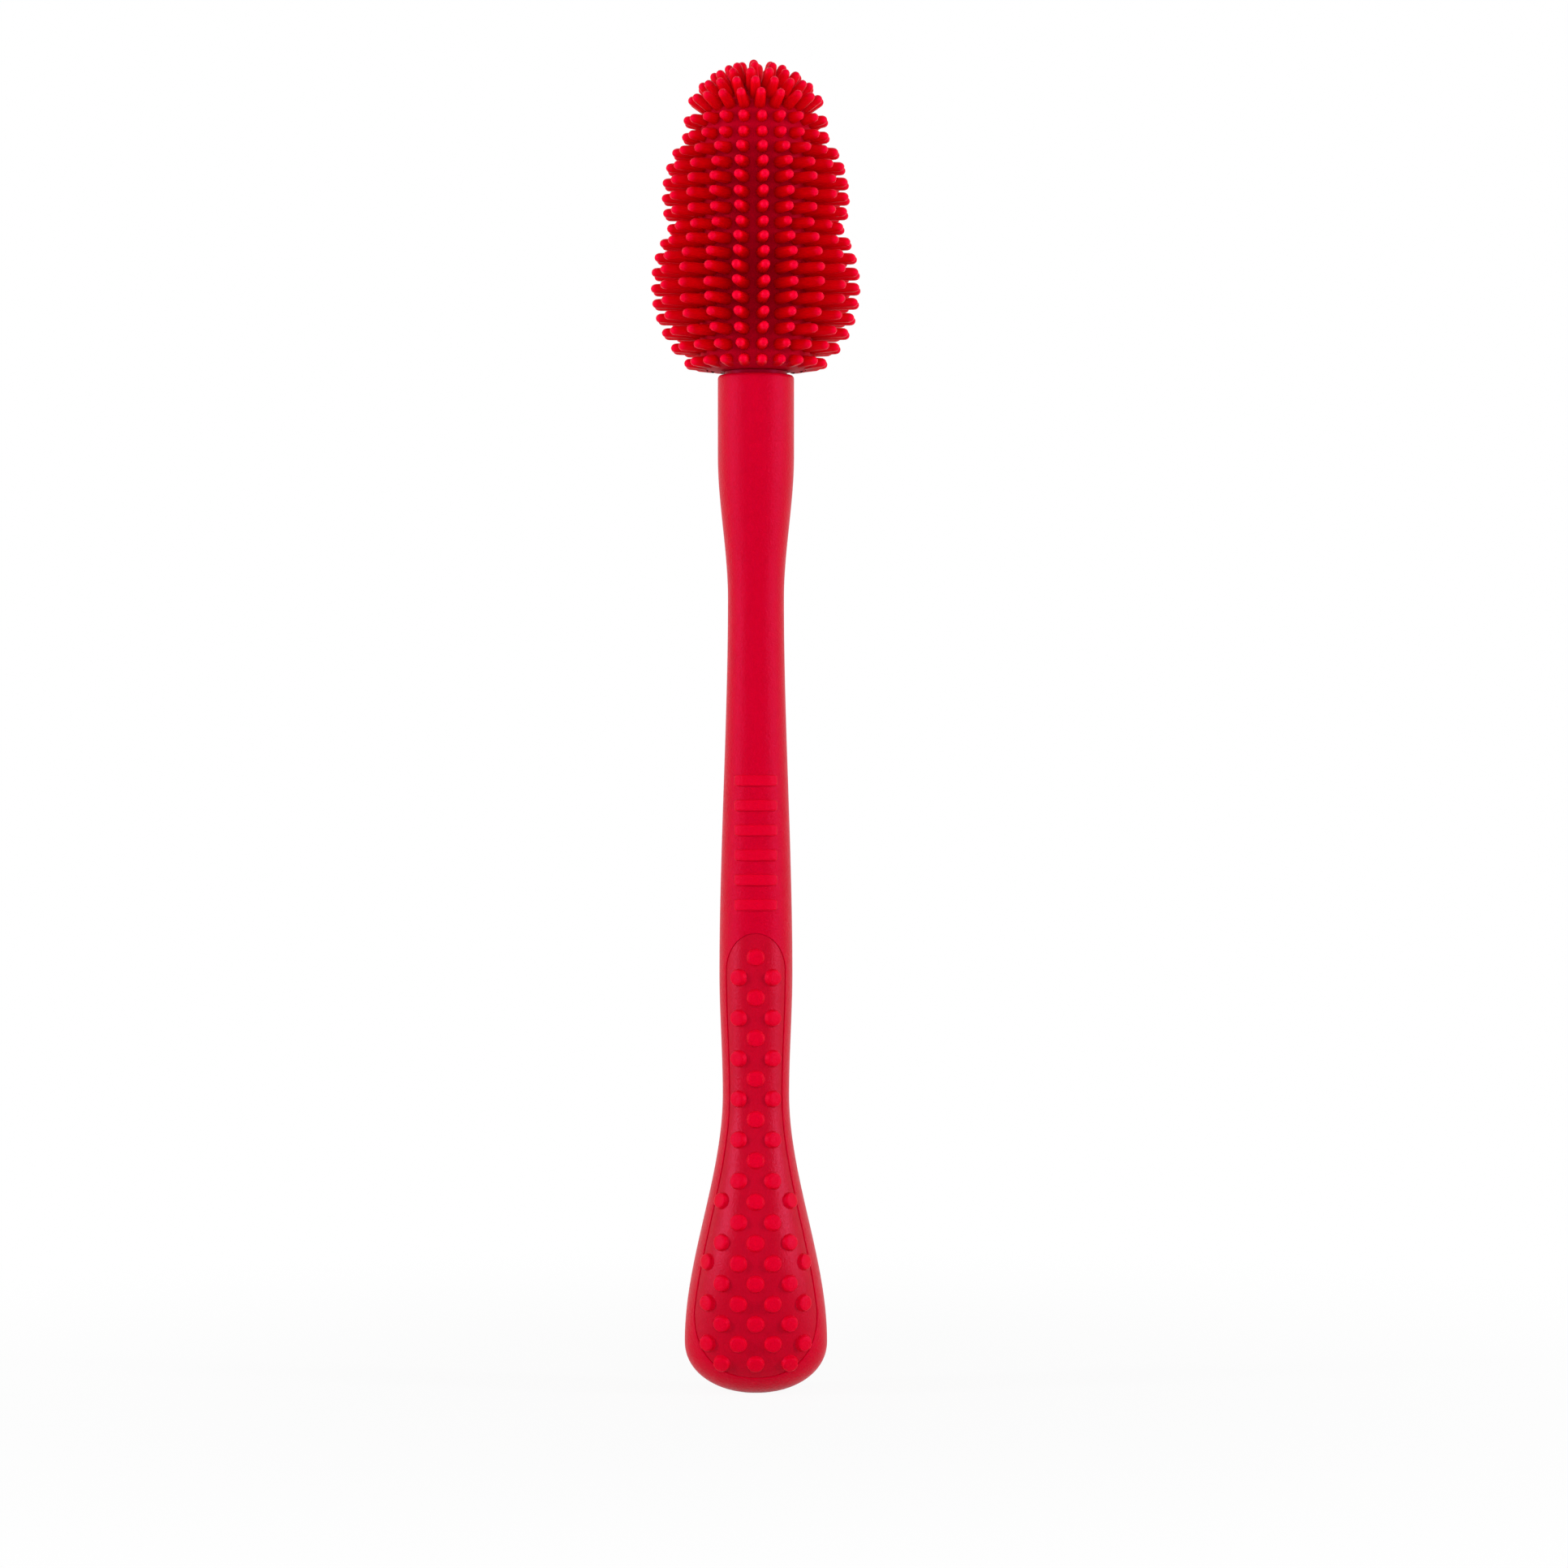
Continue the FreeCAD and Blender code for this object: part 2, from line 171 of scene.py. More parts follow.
def soft_material(name, colour, shade, mottle, satin, grain, dust, glow):
    """Satin silicone: skin detail from the group, and a little light inside the body."""
    material, shader = new_material(name)
    tree = material.node_tree
    skin = add_node(tree, "ShaderNodeGroup", node_tree=soft_skin)
    fill(skin, Colour=colour, Shade=shade, Mottle=mottle, Satin=satin, Grain=grain, Dust=dust)
    tree.links.new(skin.outputs["Colour"], shader.inputs["Base Color"])
    tree.links.new(skin.outputs["Roughness"], shader.inputs["Roughness"])
    tree.links.new(skin.outputs["Normal"], shader.inputs["Normal"])
    shader.inputs["Specular Tint"].default_value = (1.0, 0.08, 0.70, 1)
    shader.inputs["Specular IOR Level"].default_value = 0.18
    shader.inputs["IOR"].default_value = 1.43
    shader.inputs["Subsurface Weight"].default_value = glow
    shader.inputs["Subsurface Radius"].default_value = (1.0, 0.12, 0.08)
    shader.inputs["Subsurface Scale"].default_value = 0.0012
    return material


core.data.materials.clear()
core.data.materials.append(soft_material(
    "nylon core", srgb(176, 4, 32), srgb(140, 0, 22), 0.8, 0.34, 0.00001, 0.0, 0.0))

# ---- Grip ---------------------------------------------------------------------------
# One long silicone moulding over the core: a bulb flattened at the butt, a slim waist,
# and a plain shoulder under the head. Each face has a sunk pocket for a dotted pad.
GRIP_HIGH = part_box("handle_grip")[1]
GRIP_TOP = GRIP_HIGH[2]
# Stations up the handle, as (height, half-width).
BULB = (0.0068, GRIP_HIGH[0])
WAIST = (0.0398, 0.00444)
SWELL = (0.0560, 0.00488)
NECK = (0.1060, 0.00375)
SHOULDER = (0.1250, 0.00510)
BUTT_POWER = 2.1
BUTT_CUT = 0.0001
BUTT_FLATNESS = 0.60
FLAT_TO = 0.002
ROUND_FROM = 0.024
TOP_ROUND = 0.0005
COLLAR_HOLE = 0.0042
COLLAR_HOLE_DEPTH = 0.001
SLOPE_STEP = 0.00005

PAD_LOW, PAD_HIGH = (corner[2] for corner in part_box("front_grip_pad"))
PAD_WIDE = 0.011
PAD_TOP_ROUND = 0.005
PAD_LOW_POWER = 2.25
PAD_HIGH_POWER = 2.0
PAD_MARGINS = (0.00107, 0.00090)
RIM_ROUND = 0.00004
POCKET_DEPTH = 0.0010


def ease(t):
    t = min(max(t, 0.0), 1.0)
    return t * t * (3 - 2 * t)


def between(z, low, high):
    """Eases from one (height, value) station to the next."""
    return low[1] + (high[1] - low[1]) * ease((z - low[0]) / (high[0] - low[0]))


def rounding(drop, reach, power):
    """Share of full width left at some distance into a rounded end."""
    share = min(max(drop / reach, 0.0), 1.0)
    return (1 - share ** power) ** (1 / power)


def half_width(z):
    if z < BULB[0]:
        return BULB[1] * rounding(BULB[0] - z, BULB[0] + BUTT_CUT, BUTT_POWER)
    for low, high in ((BULB, WAIST), (WAIST, SWELL), (SWELL, NECK)):
        if z < high[0]:
            return between(z, low, high)
    return between(z, NECK, SHOULDER)


def half_depth(z):
    return half_width(z) * between(z, (FLAT_TO, BUTT_FLATNESS), (ROUND_FROM, 1.0))


def on_grip(x, z, sink=0.0):
    """Point on the front of the grip at x and z, moved inwards by sink along the normal."""
    a, b = half_width(z), half_depth(z)
    x = min(max(x, -a), a)
    y = -b * math.sqrt(max(1 - (x / a) ** 2, 0.0))
    da = half_width(z + SLOPE_STEP) - half_width(z - SLOPE_STEP)
    db = half_depth(z + SLOPE_STEP) - half_depth(z - SLOPE_STEP)
    slope = -(x * x * da / a ** 3 + y * y * db / b ** 3) / (2 * SLOPE_STEP)
    normal = Vector((x / a ** 2, y / b ** 2, slope)).normalized()
    return Vector((x, y, z)) - normal * sink


def pad_edge(z):
    """Half-width of the pad's outline at height z."""
    low_margin, high_margin = PAD_MARGINS
    round_z = PAD_HIGH - PAD_TOP_ROUND
    margin = between(z, (BULB[0], low_margin), (WAIST[0], high_margin))
    if z < PAD_WIDE:
        margin = between(PAD_WIDE, (BULB[0], low_margin), (WAIST[0], high_margin))
        low_round = rounding(PAD_WIDE - z, PAD_WIDE - PAD_LOW, PAD_LOW_POWER)
        return (half_width(PAD_WIDE) - margin) * low_round
    if z < round_z:
        return half_width(z) - margin
    high_round = rounding(z - round_z, PAD_TOP_ROUND, PAD_HIGH_POWER)
    return (half_width(round_z) - high_margin) * high_round


def pad_outline(ends=26, middle=100):
    """Right half of the pad's outline from bottom to top, as (x, z), with its normals."""
    quarter = [math.pi / 2 * i / ends for i in range(ends + 1)]
    round_z = PAD_HIGH - PAD_TOP_ROUND
    heights = [PAD_WIDE - (PAD_WIDE - PAD_LOW) * math.cos(a) for a in quarter]
    heights += [PAD_WIDE + (round_z - PAD_WIDE) * i / middle for i in range(1, middle)]
    heights += [round_z + PAD_TOP_ROUND * math.sin(a) for a in quarter]
    points = [Vector((pad_edge(z), z)) for z in heights]
    normals = []
    for i, point in enumerate(points):
        before = points[i - 1] if i else Vector((-points[1].x, points[1].y))
        last = i == len(points) - 1
        after = Vector((-points[i - 1].x, points[i - 1].y)) if last else points[i + 1]
        along = (after - before).normalized()
        normals.append(Vector((along.y, -along.x)))
    return list(zip(points, normals))


def make_mesh(name, vertices, faces):
    """A smooth mesh object at the origin, with its doubles merged and faces outwards."""
    mesh = bpy.data.meshes.new(name)
    mesh.from_pydata([tuple(v) for v in vertices], [], faces)
    work = bmesh.new()
    work.from_mesh(mesh)
    bmesh.ops.remove_doubles(work, verts=work.verts, dist=2e-7)
    bmesh.ops.dissolve_degenerate(work, edges=work.edges, dist=1e-8)
    bmesh.ops.recalc_face_normals(work, faces=work.faces)
    work.to_mesh(mesh)
    work.free()
    mesh.shade_smooth()
    piece = bpy.data.objects.new(name, mesh)
    bpy.context.scene.collection.objects.link(piece)
    return piece


def grid_faces(rows, columns):
    """Quads over a grid of vertices stored row by row."""
    faces = []
    for i in range(rows - 1):
        for j in range(columns - 1):
            a = i * columns + j
            faces.append((a, a + 1, a + columns + 1, a + columns))
    return faces


def mirrored(vertices, faces):
    """The same patch in all four quarters round the handle's axis."""
    whole, joined = [], []
    for sx, sy in ((1, 1), (-1, 1), (1, -1), (-1, -1)):
        first = len(whole)
        whole += [Vector((v[0] * sx, v[1] * sy, v[2])) for v in vertices]
        joined += [tuple(first + k for k in face) for face in faces]
    return whole, joined


def grip_quarter(columns=26):
    """Front right quarter of the grip, from the side to the front, opened at the pad."""
    rows = []

    def row(z_side, x_edge, z_edge):
        line = []
        turn = math.acos(min(x_edge / half_width(z_edge), 1.0))
        for j in range(columns + 1):
            share = j / columns
            z = z_side + (z_edge - z_side) * share
            line.append(on_grip(half_width(z) * math.cos(turn * share), z))
        return line

    rows.append([Vector((0, 0, 0))] * (columns + 1))
    rows.append([point * Vector((0.5, 0.5, 1)) for point in row(0.0, 0.0, 0.0)])
    low_end = PAD_LOW - RIM_ROUND
    butt_rows, bunching = 9, 1.6
    for i in range(butt_rows):
        z = low_end * (i / butt_rows) ** bunching
        rows.append(row(z, 0.0, z))
    for point, normal in pad_outline():
        edge = point + normal * RIM_ROUND
        rows.append(row(point.y, max(edge.x, 0.0), edge.y))
    first_plain = PAD_HIGH + 2 * RIM_ROUND
    neck_rows = 130
    for i in range(neck_rows + 1):
        z = first_plain + (SHOULDER[0] - first_plain) * i / neck_rows
        rows.append(row(z, 0.0, z))
    shoulder_rows = 8
    for i in range(1, shoulder_rows + 1):
        z = SHOULDER[0] + (GRIP_TOP - TOP_ROUND - SHOULDER[0]) * i / shoulder_rows
        rows.append(row(z, 0.0, z))
    round_rows = 5
    for i in range(1, round_rows + 1):
        turn = math.pi / 2 * i / round_rows
        radius = SHOULDER[1] - TOP_ROUND * (1 - math.cos(turn))
        z = GRIP_TOP - TOP_ROUND * (1 - math.sin(turn))
        rows.append(ring_quarter(radius, z, columns))
    rows.append(ring_quarter(COLLAR_HOLE, GRIP_TOP, columns))
    rows.append(ring_quarter(COLLAR_HOLE, GRIP_TOP - COLLAR_HOLE_DEPTH, columns))
    return [v for line in rows for v in line], grid_faces(len(rows), columns + 1)


def ring_quarter(radius, z, columns):
    turns = [math.pi / 2 * j / columns for j in range(columns + 1)]
    return [Vector((radius * math.cos(t), -radius * math.sin(t), z)) for t in turns]


def edge_loops(outline, steps):
    """Right half of a rounded edge along the outline; a step is (offset, sink)."""
    rows = []
    for point, normal in outline:
        line = []
        for offset, sink in steps:
            place = point + normal * offset
            line.append(on_grip(max(place.x, 0.0), place.y, sink))
        rows.append(line)
    return [v for line in rows for v in line], grid_faces(len(rows), len(steps))


def round_over(radius, base, depth, outwards):
    """Steps of a quarter round, then a straight wall: offsets from the outline and sinks."""
    steps = []
    turns = 4
    for i in range(turns + 1):
        turn = math.pi / 2 * i / turns
        offset = outwards * radius * (1 - math.sin(turn))
        steps.append((offset, base + radius * (1 - math.cos(turn))))
    return steps + [(0.0, base + depth)]


body, body_faces = grip_quarter()
rim, rim_faces = edge_loops(pad_outline(), round_over(RIM_ROUND, 0.0, POCKET_DEPTH, 1))
quarter = body + rim
quarter_faces = body_faces + [tuple(k + len(body) for k in face) for face in rim_faces]
grip = make_mesh("grip", *mirrored(quarter, quarter_faces))
grip.data.materials.append(soft_material(
    "grip silicone", srgb(214, 0, 38), srgb(192, 0, 28), 1.0, 0.30, 0.00008, 0.05, 0.12))
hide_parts("handle_grip")
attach(grip, "handle")

# ---- Grip pads ----------------------------------------------------------------------
# Two thinner silicone panels, front and back, lie in the pockets a little below the grip's
# surface. A fine gap round each shows as a dark line.
PAD_RECESS = 0.00010
PAD_GAP = 0.00001
PAD_WALL = 0.0007


def pad_half(columns=24):
    """Right half of the front pad's face and rounded edge."""
    outline = [(point - normal * PAD_GAP, normal) for point, normal in pad_outline()]
    rows = []
    for point, normal in outline:
        inner = point - normal * RIM_ROUND
        width = max(inner.x, 0.0)
        line = []
        for j in range(columns + 1):
            line.append(on_grip(width * j / columns, inner.y, PAD_RECESS))
        rows.append(line)
    face = [v for line in rows for v in line]
    faces = grid_faces(len(rows), columns + 1)
    steps = round_over(RIM_ROUND, PAD_RECESS, PAD_WALL, -1)
    edge, edge_faces = edge_loops(outline, steps)
    faces += [tuple(k + len(face) for k in quad) for quad in edge_faces]
    return face + edge, faces


def make_pad(name, node, side):
    """The pad on one side of the handle: side is 1 for the front and -1 for the back."""
    half, faces = pad_half()
    vertices, joined = [], []
    for sx in (1, -1):
        first = len(vertices)
        vertices += [Vector((v.x * sx, v.y * side, v.z)) for v in half]
        joined += [tuple(first + k for k in face) for face in faces]
    pad = make_mesh(name, vertices, joined)
    pad.data.materials.append(pad_silicone)
    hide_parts(node)
    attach(pad, "handle")
    return pad


pad_silicone = soft_material(
    "pad silicone", srgb(202, 0, 34), srgb(178, 0, 24), 1.0, 0.24, 0.00005, 0.04, 0.10)
pad_shader = pad_silicone.node_tree.nodes["Principled BSDF"]
pad_shader.inputs["Specular Tint"].default_value = (1.0, 0.14, 0.42, 1)
pad_shader.inputs["Specular IOR Level"].default_value = 0.36
front_pad = make_pad("front_pad", "front_grip_pad", 1)
back_pad = make_pad("back_pad", "back_grip_pad", -1)

# ---- Dots ---------------------------------------------------------------------------
# Low round studs moulded on both pads, in staggered columns. Each stands square to the
# surface under it, has a soft rounded rim and a slightly crowned top.
DOT_RADIUS = 0.00107
DOT_RISE = 0.00055
DOT_LOW = 0.0044
DOT_PITCH = 0.00538
# Columns as (offset from the middle, lift in pitches, number of dots).
DOT_COLUMNS = [(0.0, 0.0, 11), (0.0023, 0.5, 10), (0.0045, 0.0, 5), (0.00635, 0.5, 3)]
CAST_FROM = 0.03


def turned(name, profile, sides, **shares):
    """A turned shape about Z from (radius, height) points, with values given ring by ring."""
    vertices, faces = [], []
    for radius, height in profile:
        for k in range(sides):
            turn = 2 * math.pi * k / sides
            vertices.append((radius * math.cos(turn), radius * math.sin(turn), height))
    for i in range(len(profile) - 1):
        for k in range(sides):
            a, b = i * sides + k, i * sides + (k + 1) % sides
            faces.append((a, b, b + sides, a + sides))
    faces.append(tuple((len(profile) - 1) * sides + k for k in range(sides)))
    mesh = bpy.data.meshes.new(name)
    mesh.from_pydata(vertices, [], faces)
    mesh.shade_smooth()
    for key, values in shares.items():
        share = mesh.attributes.new(key, "FLOAT", "POINT")
        share.data.foreach_set("value", [value for value in values for k in range(sides)])
    piece = bpy.data.objects.new(name, mesh)
    bpy.context.scene.collection.objects.link(piece)
    return piece


def point_object(name, points, **attributes):
    """Loose points with named attributes, for a Geometry Nodes tree to build on."""
    mesh = bpy.data.meshes.new(name)
    mesh.from_pydata([tuple(p) for p in points], [], [])
    for key, values in attributes.items():
        vector = isinstance(values[0], Vector)
        slot = mesh.attributes.new(key, "FLOAT_VECTOR" if vector else "FLOAT", "POINT")
        if vector:
            slot.data.foreach_set("vector", [c for v in values for c in v])
        else:
            slot.data.foreach_set("value", values)
    piece = bpy.data.objects.new(name, mesh)
    bpy.context.scene.collection.objects.link(piece)
    return piece


def geometry_tree(name, inputs):
    """A new Geometry Nodes tree with named inputs: returns it, its start and its end."""
    tree = bpy.data.node_groups.new(name, "GeometryNodeTree")
    tree.is_modifier = True
    face = tree.interface
    face.new_socket(name="Geometry", in_out="INPUT", socket_type="NodeSocketGeometry")
    for label, kind in inputs:
        face.new_socket(name=label, in_out="INPUT", socket_type=kind)
    face.new_socket(name="Geometry", in_out="OUTPUT", socket_type="NodeSocketGeometry")
    return tree, tree.nodes.new("NodeGroupInput"), tree.nodes.new("NodeGroupOutput")


def run_tree(piece, tree, **values):
    """Runs a tree on an object and leaves its result as a plain mesh in a new object."""
    modifier = piece.modifiers.new(tree.name, "NODES")
    modifier.node_group = tree
    for item in tree.interface.items_tree:
        if item.in_out == "INPUT" and item.name.replace(" ", "_") in values:
            modifier[item.identifier] = values[item.name.replace(" ", "_")]
    graph = bpy.context.evaluated_depsgraph_get()
    mesh = bpy.data.meshes.new_from_object(piece.evaluated_get(graph))
    result = bpy.data.objects.new(piece.name, mesh)
    bpy.context.scene.collection.objects.link(result)
    name = piece.name
    bpy.data.objects.remove(piece)
    result.name = name
    return result


def press_on_tree():
    """Drops points along a direction onto a surface, and stands a stud on each."""
    tree, start, end = geometry_tree("studs on a surface", [
        ("Surface", "NodeSocketObject"), ("Stud", "NodeSocketObject"),
        ("Direction", "NodeSocketVector"), ("Finish", "NodeSocketMaterial")])
    link = tree.links.new
    surface = add_node(tree, "GeometryNodeObjectInfo")
    stud = add_node(tree, "GeometryNodeObjectInfo")
    link(start.outputs["Surface"], surface.inputs["Object"])
    link(start.outputs["Stud"], stud.inputs["Object"])
    cast = add_node(tree, "GeometryNodeRaycast")
    fill(cast, Ray_Length=0.1)
    link(surface.outputs["Geometry"], cast.inputs["Target Geometry"])
    link(start.outputs["Direction"], cast.inputs["Ray Direction"])
    keep = add_node(tree, "GeometryNodeStoreNamedAttribute", data_type="FLOAT_VECTOR")
    fill(keep, Name="out")
    link(start.outputs["Geometry"], keep.inputs["Geometry"])
    link(cast.outputs["Hit Normal"], keep.inputs["Value"])
    drop = add_node(tree, "GeometryNodeSetPosition")
    link(keep.outputs["Geometry"], drop.inputs["Geometry"])
    link(cast.outputs["Hit Position"], drop.inputs["Position"])
    out = add_node(tree, "GeometryNodeInputNamedAttribute", data_type="FLOAT_VECTOR")
    fill(out, Name="out")
    turn = add_node(tree, "FunctionNodeAlignRotationToVector", axis="Z")
    link(out.outputs["Attribute"], turn.inputs["Vector"])
    stand = add_node(tree, "GeometryNodeInstanceOnPoints")
    link(drop.outputs["Geometry"], stand.inputs["Points"])
    link(stud.outputs["Geometry"], stand.inputs["Instance"])
    link(turn.outputs["Rotation"], stand.inputs["Rotation"])
    real = add_node(tree, "GeometryNodeRealizeInstances")
    link(stand.outputs["Instances"], real.inputs["Geometry"])
    paint = add_node(tree, "GeometryNodeSetMaterial")
    link(real.outputs["Geometry"], paint.inputs["Geometry"])
    link(start.outputs["Finish"], paint.inputs["Material"])
    link(paint.outputs["Geometry"], end.inputs["Geometry"])
    return tree


def dot_points(side):
    """Dots in columns to both sides of the middle, in front of the pad they belong to."""
    points = []
    for offset, lift, count in DOT_COLUMNS:
        for i in range(count):
            z = DOT_LOW + (i + lift) * DOT_PITCH
            for way in ((1, -1) if offset else (1,)):
                points.append(Vector((way * offset, -CAST_FROM * side, z)))
    return points


dot_shape = turned("dot_shape", [
    (DOT_RADIUS * 1.16, -0.00012), (DOT_RADIUS * 1.05, 0.00006), (DOT_RADIUS * 1.01, 0.00020),
    (DOT_RADIUS * 0.98, DOT_RISE * 0.70), (DOT_RADIUS * 0.93, DOT_RISE * 0.90),
    (DOT_RADIUS * 0.83, DOT_RISE * 1.00), (DOT_RADIUS * 0.40, DOT_RISE * 1.02),
    (DOT_RADIUS * 0.08, DOT_RISE * 1.02)], 24)
dot_silicone = soft_material(
    "dot silicone", srgb(228, 0, 38), srgb(212, 0, 30), 1.0, 0.32, 0.00007, 0.03, 0.12)
press_on = press_on_tree()
for pad, name, side in ((front_pad, "front_dots", 1), (back_pad, "back_dots", -1)):
    dots = run_tree(point_object(name, dot_points(side)), press_on, Surface=pad, Stud=dot_shape,
                    Direction=(0.0, float(side), 0.0), Finish=dot_silicone)
    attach(dots, "handle")
bpy.data.objects.remove(dot_shape)

# ---- Thumb bars ---------------------------------------------------------------------
# Six plain raised bars across the front of the grip, above the pad, moulded in one with it.
# They give the thumb a hold; their faces follow the round of the handle.
BAR_COUNT = 6
BAR_LOW = 0.0644
BAR_PITCH = 0.0033
BAR_SIZE = (0.0055, 0.0015)
BAR_RISE = 0.00035
BAR_ROUND = 0.00022
BAR_CORNER = 0.00035
BAR_SKIRT = 0.0003


def bar_grid(columns=22, rows=8):
    """One bar laid out flat in the XZ plane, as a grid with its height in along."""
    half_x, half_z = BAR_SIZE[0] / 2, BAR_SIZE[1] / 2

    def spaced(half, count):
        """Places across a bar, close together at the rounded edges."""
        edge = [0.0, 0.0, 0.05, 0.25, 0.6, 1.0]
        side = [half - BAR_ROUND * share for share in edge]
        inner = half - BAR_ROUND
        middle = [inner - 2 * inner * i / count for i in range(1, count)]
        return side + middle + [-value for value in reversed(side)]

    xs, zs = spaced(half_x, columns), spaced(half_z, rows)
    vertices, heights = [], []
    for i, z in enumerate(zs):
        for j, x in enumerate(xs):
            qx = max(abs(x) - (half_x - BAR_CORNER), 0.0)
            qz = max(abs(z) - (half_z - BAR_CORNER), 0.0)
            out = math.hypot(qx, qz)
            px, pz = x, z
            if out > BAR_CORNER:
                squeeze = BAR_CORNER / out
                px = math.copysign(half_x - BAR_CORNER + qx * squeeze, x) if qx else x
                pz = math.copysign(half_z - BAR_CORNER + qz * squeeze, z) if qz else z
            inside = min(half_x - abs(px), half_z - abs(pz))
            if qx and qz:
                inside = min(inside, BAR_CORNER - min(out, BAR_CORNER))
            share = min(max(inside / BAR_ROUND, 0.0), 1.0)
            rise = BAR_RISE - BAR_ROUND * (1 - math.sqrt(1 - (1 - share) ** 2))
            skirt = i in (0, len(zs) - 1) or j in (0, len(xs) - 1)
            vertices.append((px, 0.0, pz))
            heights.append(-BAR_SKIRT if skirt else rise)
    mesh = bpy.data.meshes.new("bar_shape")
    mesh.from_pydata(vertices, [], grid_faces(len(zs), len(xs)))
    mesh.shade_smooth()
    share = mesh.attributes.new("along", "FLOAT", "POINT")
    share.data.foreach_set("value", heights)
    piece = bpy.data.objects.new("bar_shape", mesh)
    bpy.context.scene.collection.objects.link(piece)
    return piece


def wrapped_bars_tree():
    """A row of flat bars, wrapped onto the surface behind them by casting each point."""
    tree, start, end = geometry_tree("bars on a surface", [
        ("Surface", "NodeSocketObject"), ("Bar", "NodeSocketObject"), ("Count", "NodeSocketInt"),
        ("First", "NodeSocketVector"), ("Step", "NodeSocketVector"),
        ("Finish", "NodeSocketMaterial")])
    link = tree.links.new
    surface = add_node(tree, "GeometryNodeObjectInfo")
    bar = add_node(tree, "GeometryNodeObjectInfo")
    link(start.outputs["Surface"], surface.inputs["Object"])
    link(start.outputs["Bar"], bar.inputs["Object"])
    line = add_node(tree, "GeometryNodeMeshLine", mode="OFFSET")
    link(start.outputs["Count"], line.inputs["Count"])
    link(start.outputs["First"], line.inputs["Start Location"])
    link(start.outputs["Step"], line.inputs["Offset"])
    stand = add_node(tree, "GeometryNodeInstanceOnPoints")
    link(line.outputs["Mesh"], stand.inputs["Points"])
    link(bar.outputs["Geometry"], stand.inputs["Instance"])
    real = add_node(tree, "GeometryNodeRealizeInstances")
    link(stand.outputs["Instances"], real.inputs["Geometry"])
    cast = add_node(tree, "GeometryNodeRaycast")
    fill(cast, Ray_Length=0.1)
    cast.inputs["Ray Direction"].default_value = (0, 1, 0)
    link(surface.outputs["Geometry"], cast.inputs["Target Geometry"])
    height = add_node(tree, "GeometryNodeInputNamedAttribute", data_type="FLOAT")
    fill(height, Name="along")
    lift = add_node(tree, "ShaderNodeVectorMath", operation="SCALE")
    link(cast.outputs["Hit Normal"], lift.inputs[0])
    link(height.outputs["Attribute"], lift.inputs["Scale"])
    wrap = add_node(tree, "GeometryNodeSetPosition")
    link(real.outputs["Geometry"], wrap.inputs["Geometry"])
    link(cast.outputs["Hit Position"], wrap.inputs["Position"])
    link(lift.outputs["Vector"], wrap.inputs["Offset"])
    paint = add_node(tree, "GeometryNodeSetMaterial")
    link(wrap.outputs["Geometry"], paint.inputs["Geometry"])
    link(start.outputs["Finish"], paint.inputs["Material"])
    link(paint.outputs["Geometry"], end.inputs["Geometry"])
    return tree


bar_shape = bar_grid()
bar_silicone = soft_material(
    "bar silicone", srgb(226, 0, 38), srgb(210, 0, 30), 1.0, 0.32, 0.00007, 0.03, 0.12)
first_bar = (0.0, -CAST_FROM, BAR_LOW + BAR_SIZE[1] / 2)
bars = run_tree(point_object("thumb_bars", [Vector(first_bar)]), wrapped_bars_tree(),
                Surface=grip, Bar=bar_shape, Count=BAR_COUNT, First=first_bar,
                Step=(0.0, 0.0, BAR_PITCH), Finish=bar_silicone)
bpy.data.objects.remove(bar_shape)
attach(bars, "handle")

# ---- Head backing -------------------------------------------------------------------
# The hollow middle of the soft head moulding: a near-straight barrel with a domed crown
# that carries the fingers, and a blind bore that pushes onto the core's post.
HEAD_NODES = ["head_base_ring", "head_lower_lobe", "head_waist", "head_upper_lobe", "head_crown"]
HEAD_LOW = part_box("head_base_ring")[0][2]
RING_PITCH = 0.002
RING_COUNT = 17
FIRST_RING = HEAD_LOW + 0.001
LAST_RING = FIRST_RING + (RING_COUNT - 1) * RING_PITCH
CROWN_CENTRE = LAST_RING - RING_PITCH
# Outlines as (height above the head's foot, radius); for a lobe, of its middle.
BARREL = [(0.0, 0.0073), (0.004, 0.0076), (0.016, 0.0077), (0.022, 0.00765), (0.030, 0.00755)]
CROWN_RADIUS = 0.0075
LOBES = [(0.0113, 0.0141), (0.0232, 0.01265), (0.0322, 0.00985)]
LONGEST_FINGER = 0.0065
BORE = [(0.0306, 0.0023), (0.0, 0.0035)]
FOOT = [(0.0, 0.0042), (0.00018, 0.0060), (0.00036, 0.0069), (0.00056, 0.00722),
        (0.0008, 0.00735)]


def barrel_radius(z):
    """Outer radius at height z: straight tapers between stations, then the domed crown."""
    if z > CROWN_CENTRE:
        return math.sqrt(max(CROWN_RADIUS ** 2 - (z - CROWN_CENTRE) ** 2, 0.0))
    stations = BARREL + [(CROWN_CENTRE - HEAD_LOW, CROWN_RADIUS)]
    up = z - HEAD_LOW
    for (low, r_low), (high, r_high) in zip(stations, stations[1:]):
        if up <= high:
            return r_low + (r_high - r_low) * (up - low) / (high - low)
    return CROWN_RADIUS


def tip_reach(z):
    """Reach of a side finger's tip at height z: the widest of the three round lobes."""
    up = z - HEAD_LOW
    return max(math.sqrt(max(r * r - (up - middle) ** 2, 0.0)) for middle, r in LOBES)


